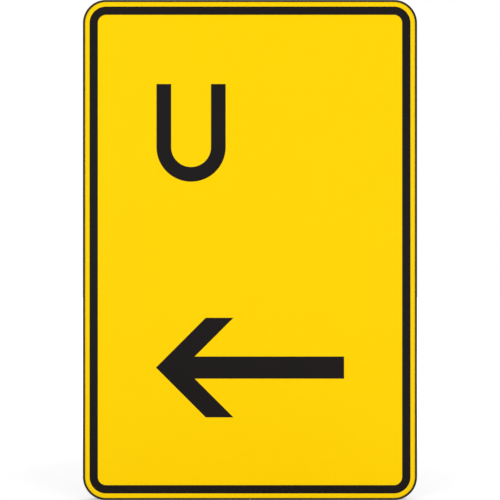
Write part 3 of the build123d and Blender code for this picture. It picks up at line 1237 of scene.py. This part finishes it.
class DETOUR_OT_nuts(Operator):
    """Turn the chamfers of the four hexagon nuts"""

    bl_idname = "detour_sign.nuts"
    bl_label = "Nuts"

    turn_steps = 72

    def rings(self, settings, x, z, front, rear):
        """Sections of a nut round its axis."""
        flat = settings.nut_width / 2
        face = settings.nut_face * flat
        bore = settings.bolt_diameter / 2 + settings.nut_play
        chamfer = settings.bore_chamfer
        mouth = bore + chamfer
        rings = []
        for angle in round_angles(self.turn_steps):
            # Each flat takes a sixth of the turn
            reach = flat / cos(angle % (pi / 3) - pi / 6)
            # Both faces are turned to a cone, which leaves an arc on every flat
            cone = (reach - face) * tan(settings.nut_cone)
            section = (
                (mouth, front),
                (face, front),
                (reach, front + cone),
                (reach, rear - cone),
                (face, rear),
                (mouth, rear),
                (bore, rear - chamfer),
                (bore, front + chamfer),
            )
            rings.append([about_axis(x, z, radius, angle, depth) for radius, depth in section])
        return rings

    def execute(self, context):
        settings = context.scene.detour_fasteners
        zinc = zinc_plate(settings)
        for end in ENDS:
            body = f"{end}_strap_set"
            low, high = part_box(f"{end}_nuts")
            bm = bmesh.new()
            for x, z in bolt_places(end, settings):
                skin(bm, self.rings(settings, x, z, low.y, high.y), loop=True)
            add_piece(f"{end}_hex_nuts", bm, zinc, body, [f"{end}_nuts"], sharp=20.0)
        return {"FINISHED"}


class DETOUR_OT_stage(Operator):
    """Set the floor, the white surroundings, the lamps and the camera"""

    bl_idname = "detour_sign.stage"
    bl_label = "Stage"

    floor_half_width = 9.0
    floor_gap = 0.0002

    def floor(self, settings):
        """A wide pale floor that takes the sign's shadow and turns plain white further out."""
        graph = NodeGraph.material("Studio floor")
        reach = graph.vector_math("LENGTH", graph.place())
        lift = graph.spread(
            reach,
            source=(settings.shadow_reach, settings.white_reach),
            target=(settings.floor_lift, 1.0),
        )
        material = graph.finish(
            Base_Color=(*settings.floor, 1.0),
            Roughness=1.0,
            Specular_IOR_Level=0.0,
            Emission_Color=WHITE,
            Emission_Strength=graph.math("MULTIPLY", graph.seen(), lift),
        )
        bm = bmesh.new()
        bmesh.ops.create_grid(bm, x_segments=1, y_segments=1, size=self.floor_half_width)
        floor = add_mesh("floor", bm, material)
        floor.location.z = profile_low.z - self.floor_gap

    def surroundings(self, settings):
        """White all around where it is seen, and an even fill light elsewhere."""
        world = bpy.data.worlds.new("Studio surroundings")
        graph = NodeGraph(world)
        strength = graph.spread(graph.seen(), source=(0.0, 1.0), target=(settings.fill, 1.0))
        background = graph.tree.nodes["Background"]
        graph.fill_in(background, {"Color": WHITE, "Strength": strength})
        bpy.context.scene.world = world

    def lamp(self, name, place, watts, width, height):
        """A soft box that faces the sign's middle."""
        light = bpy.data.lights.new(name, "AREA")
        light.shape = "RECTANGLE"
        light.size = width
        light.size_y = height
        light.energy = watts
        lamp = add_object(name, light)
        lamp.location = place
        lamp.rotation_euler = (-Vector(place)).to_track_quat("-Z", "Y").to_euler()

    def camera(self, settings):
        """A camera straight in front, whose frame is as high as the sign in the plane of its face."""
        data = bpy.data.cameras.new("camera")
        data.lens = settings.lens
        camera = add_object("camera", data)
        distance = profile_high.z * settings.lens / (data.sensor_width / 2)
        camera.location = (0.0, border_low.y - distance, 0.0)
        camera.rotation_euler = (pi / 2, 0.0, 0.0)
        bpy.context.scene.camera = camera

    def execute(self, context):
        settings = context.scene.detour_stage
        self.floor(settings)
        self.surroundings(settings)
        self.lamp("key softbox", place=(-2.0, -2.9, 0.25), watts=settings.key_power, width=1.8, height=1.3)
        self.lamp("side softbox", place=(2.0, -2.9, 0.2), watts=settings.side_power, width=1.8, height=1.2)
        self.lamp("rear softbox", place=(1.6, 2.8, 1.8), watts=settings.rear_power, width=1.6, height=1.6)
        self.camera(settings)
        context.scene.view_settings.view_transform = "Standard"
        return {"FINISHED"}


class DETOUR_PT_sign(Panel):
    """The sizes and colours of the sign, and the steps that dress it, in order"""

    bl_label = "Detour Sign"
    bl_idname = "DETOUR_PT_sign"
    bl_space_type = "VIEW_3D"
    bl_region_type = "UI"
    bl_category = "Detour Sign"

    def draw(self, context):
        for name, group in settings_groups.items():
            header, body = self.layout.panel(name, default_closed=True)
            header.label(text=group.__doc__)
            # A part of the panel that is closed has no body
            if body:
                for setting in group.__annotations__:
                    body.prop(getattr(context.scene, name), setting)
        for operator in operators:
            self.layout.operator(operator.bl_idname)


settings_groups = {
    "detour_films": FilmSettings,
    "detour_profile": ProfileSettings,
    "detour_rails": RailSettings,
    "detour_clamps": ClampSettings,
    "detour_fasteners": FastenerSettings,
    "detour_stage": StageSettings,
}
operators = (
    DETOUR_OT_films,
    DETOUR_OT_profile,
    DETOUR_OT_rails,
    DETOUR_OT_rivets,
    DETOUR_OT_saddles,
    DETOUR_OT_straps,
    DETOUR_OT_bolts,
    DETOUR_OT_washers,
    DETOUR_OT_nuts,
    DETOUR_OT_stage,
)


def register():
    """Adds the settings, the steps and the panel to Blender."""
    for name, group in settings_groups.items():
        bpy.utils.register_class(group)
        setattr(bpy.types.Scene, name, PointerProperty(type=group))
    for operator in operators:
        bpy.utils.register_class(operator)
    bpy.utils.register_class(DETOUR_PT_sign)


def unregister():
    """Takes the panel, the steps and the settings away again."""
    bpy.utils.unregister_class(DETOUR_PT_sign)
    for operator in reversed(operators):
        bpy.utils.unregister_class(operator)
    for name, group in reversed(settings_groups.items()):
        delattr(bpy.types.Scene, name)
        bpy.utils.unregister_class(group)


def main():
    """Dresses the sign step by step."""
    register()
    bpy.ops.detour_sign.films()
    bpy.ops.detour_sign.profile()
    bpy.ops.detour_sign.rails()
    bpy.ops.detour_sign.rivets()
    bpy.ops.detour_sign.saddles()
    bpy.ops.detour_sign.straps()
    bpy.ops.detour_sign.bolts()
    bpy.ops.detour_sign.washers()
    bpy.ops.detour_sign.nuts()
    bpy.ops.detour_sign.stage()


if __name__ == "__main__":
    main()
